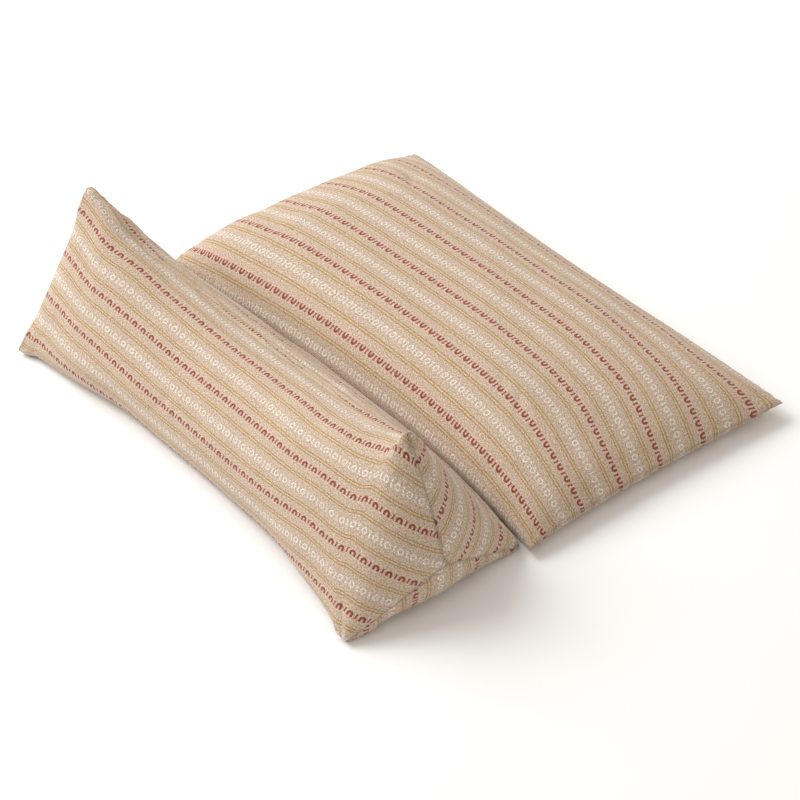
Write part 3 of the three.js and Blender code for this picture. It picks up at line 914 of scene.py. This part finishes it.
def weave_group():
    """The plain weave: raised yarns as the product of two sine waves along and across, uneven slubs as stretched
    noise in both directions, a slanting twill, and flecks of dyed yarns."""
    tree, g, given, ways, out = new_group("Heathered weave", {"Yarns per metre": YARNS_PER_METRE},
                                          ("Height", "Warp slub", "Weft slub", "Mottle", *FLECKS))
    cloth, turns = given["Cloth"], g.mul(given["Yarns per metre"], math.pi)
    warp, weft = (g.math("SINE", g.mul(way, turns)) for way in ways)
    yarn = g.add(0.5, g.mul(g.mul(warp, weft), 0.5))
    warp_slub, weft_slub = g.noise(cloth, *WARP_SLUB), g.noise(cloth, *WEFT_SLUB)
    slant = g.node("ShaderNodeVectorRotate", {"Vector": g.scaled(cloth, TWILL_SIZE), "Angle": TWILL_TURN},
                   rotation_type="Z_AXIS").outputs[0]
    slubs = g.mul(g.add(warp_slub, weft_slub), SLUB_RISE)
    height = g.add(g.mul(yarn, YARN_RISE), g.add(slubs, g.mul(g.noise(slant, *TWILL), TWILL_RISE)))
    g.feed(out, {"Height": height, "Warp slub": warp_slub, "Weft slub": weft_slub, "Mottle": g.noise(cloth, *MOTTLE)})
    g.feed(out, {name: g.between(g.noise(cloth, *noise), *full) for name, (noise, *full) in FLECKS.items()})
    return tree


def cloth_material(look):
    """Heathered cotton with woven stripes: colours from the stripe masks and flecks, darkened by random tone and by
    painted shade where the weave lies low and along the seams, bump from the yarns and the raised figures."""
    if "Striped cloth" in bpy.data.materials:
        return bpy.data.materials["Striped cloth"]
    material = bpy.data.materials.new("Striped cloth")
    material.use_nodes = True
    tree = material.node_tree
    tree.nodes.clear()
    g = Graph(tree)
    cloth = g.node("ShaderNodeUVMap", uv_map="cloth").outputs[0]
    stripes = g.node("ShaderNodeGroup", {"Cloth": cloth, "Repeat": look.repeat, "Pitch": look.pitch},
                     node_tree=stripe_group())
    weave = g.node("ShaderNodeGroup", {"Cloth": cloth}, node_tree=weave_group())
    signal = {**dict(stripes.outputs.items()), **dict(weave.outputs.items())}
    base = (*look.ground, 1.0)
    for mask, tint, cover, *slub in LAYERS:
        if slub:
            cover = g.add(cover, g.mul(signal[slub[0]], slub[1]))
        base = g.mix(g.mul(signal[mask], cover), base, (*getattr(look, tint), 1.0))
    # Painted shade where the weave lies low, times random tone from the speckle and mottle
    shade = 1.0
    for name, low, rise in PAINTED_SHADE_AND_TONE:
        shade = g.mul(shade, g.add(low, g.mul(signal[name], rise)))
    # Painted shade along the seams: darker where the seam attribute is near one
    seam = g.node("ShaderNodeAttribute", attribute_name="seam", attribute_type="GEOMETRY").outputs["Fac"]
    shade = g.mul(shade, g.sub(1.0, g.mul(seam, SEAM_SHADE)))
    grey = g.node("ShaderNodeCombineColor", {0: shade, 1: shade, 2: shade}).outputs[0]
    base = g.mix(1.0, base, grey, "MULTIPLY")
    raised = g.add(signal["Height"], g.mul(g.most(signal["Loops"], signal["Rings"]), FIGURE_RISE))
    raised = g.add(raised, g.mul(signal["Lines"], LINE_RISE))
    bump = g.node("ShaderNodeBump", {**BUMP, "Height": raised})
    shader = g.node("ShaderNodeBsdfPrincipled", {**SURFACE, "Base Color": base, "Normal": bump.outputs[0]})
    g.node("ShaderNodeOutputMaterial", {"Surface": shader.outputs[0]})
    return material


# Studio

SENSOR_WIDTH, CLIP_START, CLIP_END = 36.0, 0.05, 50.0
# The floor: half its width, its two tones, how fast they change and how matt it is
FLOOR_HALF = 6.0
FLOOR_TONES = (0.90, 0.92, 0.94, 1.0), (0.92, 0.94, 0.96, 1.0)
FLOOR_CHANGE, FLOOR_ROUGHNESS = (0.8, 0.8, 0.8), 0.95
# The light: colour and strength all round, and the disk lamps with their place and power
WORLD_TINT, WORLD_STRENGTH = (1.0, 0.92, 0.835, 1.0), 0.67
LAMP_WIDTH = 1.8
LAMPS = (("left", (-2.0, -0.3, 2.0), 33.5), ("left_front", (-1.6, -1.4, 2.0), 43.5))


def aimed(name, data, place, towards):
    """A camera or lamp at the place, turned to look along the direction."""
    made = bpy.data.objects.new(name, data)
    made.location = place
    made.rotation_mode = "QUATERNION"
    made.rotation_quaternion = towards.to_track_quat("-Z", "Y")
    bpy.context.scene.collection.objects.link(made)
    return made


class PILLOW_OT_studio(Operator):
    """Sets up the camera, the pale floor and the soft light"""

    bl_idname = "pillow.studio"
    bl_label = "Studio"

    def execute(self, context):
        scene, studio = context.scene, context.scene.pillow_studio
        scene.view_settings.view_transform = "Standard"
        az, el = studio.azimuth, studio.elevation
        back = Vector((math.sin(az) * math.cos(el), -math.cos(az) * math.cos(el), math.sin(el)))
        data = bpy.data.cameras.new("camera")
        data.lens, data.sensor_width = studio.lens, SENSOR_WIDTH
        data.clip_start, data.clip_end = CLIP_START, CLIP_END
        scene.camera = aimed("camera", data, Vector(studio.look_at) + back * studio.distance, -back)

        corners = [(x * FLOOR_HALF, y * FLOOR_HALF, 0) for x, y in ((-1, -1), (1, -1), (1, 1), (-1, 1))]
        mesh = bpy.data.meshes.new("floor")
        mesh.from_pydata(corners, [], [(0, 1, 2, 3)])
        floor = bpy.data.objects.new("floor", mesh)
        scene.collection.objects.link(floor)
        floor.data.materials.append(floor_material())

        world = bpy.data.worlds.new("studio")
        world.use_nodes = True
        ground = world.node_tree.nodes["Background"]
        ground.inputs["Color"].default_value = WORLD_TINT
        ground.inputs["Strength"].default_value = WORLD_STRENGTH * studio.light
        scene.world = world
        for name, place, power in LAMPS:
            lamp = bpy.data.lights.new(name, "AREA")
            lamp.shape, lamp.size = "DISK", LAMP_WIDTH
            lamp.energy = power * studio.light
            aimed(name, lamp, place, -Vector(place))
        return {"FINISHED"}


def floor_material():
    """Matt pale paper with a faint, slow change of tone."""
    material = bpy.data.materials.new("Pale floor")
    material.use_nodes = True
    g = Graph(material.node_tree)
    tone = g.noise(g.node("ShaderNodeTexCoord").outputs["Object"], FLOOR_CHANGE)
    shader = material.node_tree.nodes["Principled BSDF"]
    g.feed(shader.inputs, {"Base Color": g.mix(tone, *FLOOR_TONES), "Roughness": FLOOR_ROUGHNESS})
    return material


class PILLOW_PT_panel(Panel):
    """Lists the pieces of the pillow and their sizes"""

    bl_label = "Pillow"
    bl_idname = "PILLOW_PT_panel"
    bl_space_type = "VIEW_3D"
    bl_region_type = "UI"
    bl_category = "Pillow"

    def draw(self, context):
        scene, layout = context.scene, self.layout
        for name, group in SETTINGS.items():
            box = layout.box()
            if group is not PillowClothSettings:
                box.operator(name.replace("_", "."))
            for field in group.__annotations__:
                box.prop(getattr(scene, name), field)


SETTINGS = {"pillow_cloth": PillowClothSettings, "pillow_cushion": PillowCushionSettings,
            "pillow_bolster": PillowBolsterSettings, "pillow_studio": PillowStudioSettings}
CLASSES = (*SETTINGS.values(), PILLOW_OT_studio, PILLOW_OT_bolster, PILLOW_OT_cushion, PILLOW_PT_panel)


def register():
    for item in CLASSES:
        bpy.utils.register_class(item)
    for name, group in SETTINGS.items():
        setattr(bpy.types.Scene, name, PointerProperty(type=group))


def unregister():
    for name in SETTINGS:
        delattr(bpy.types.Scene, name)
    for item in reversed(CLASSES):
        bpy.utils.unregister_class(item)


def main():
    register()
    bpy.ops.pillow.studio()
    bpy.ops.pillow.bolster()
    bpy.ops.pillow.cushion()


if __name__ == "__main__":
    main()
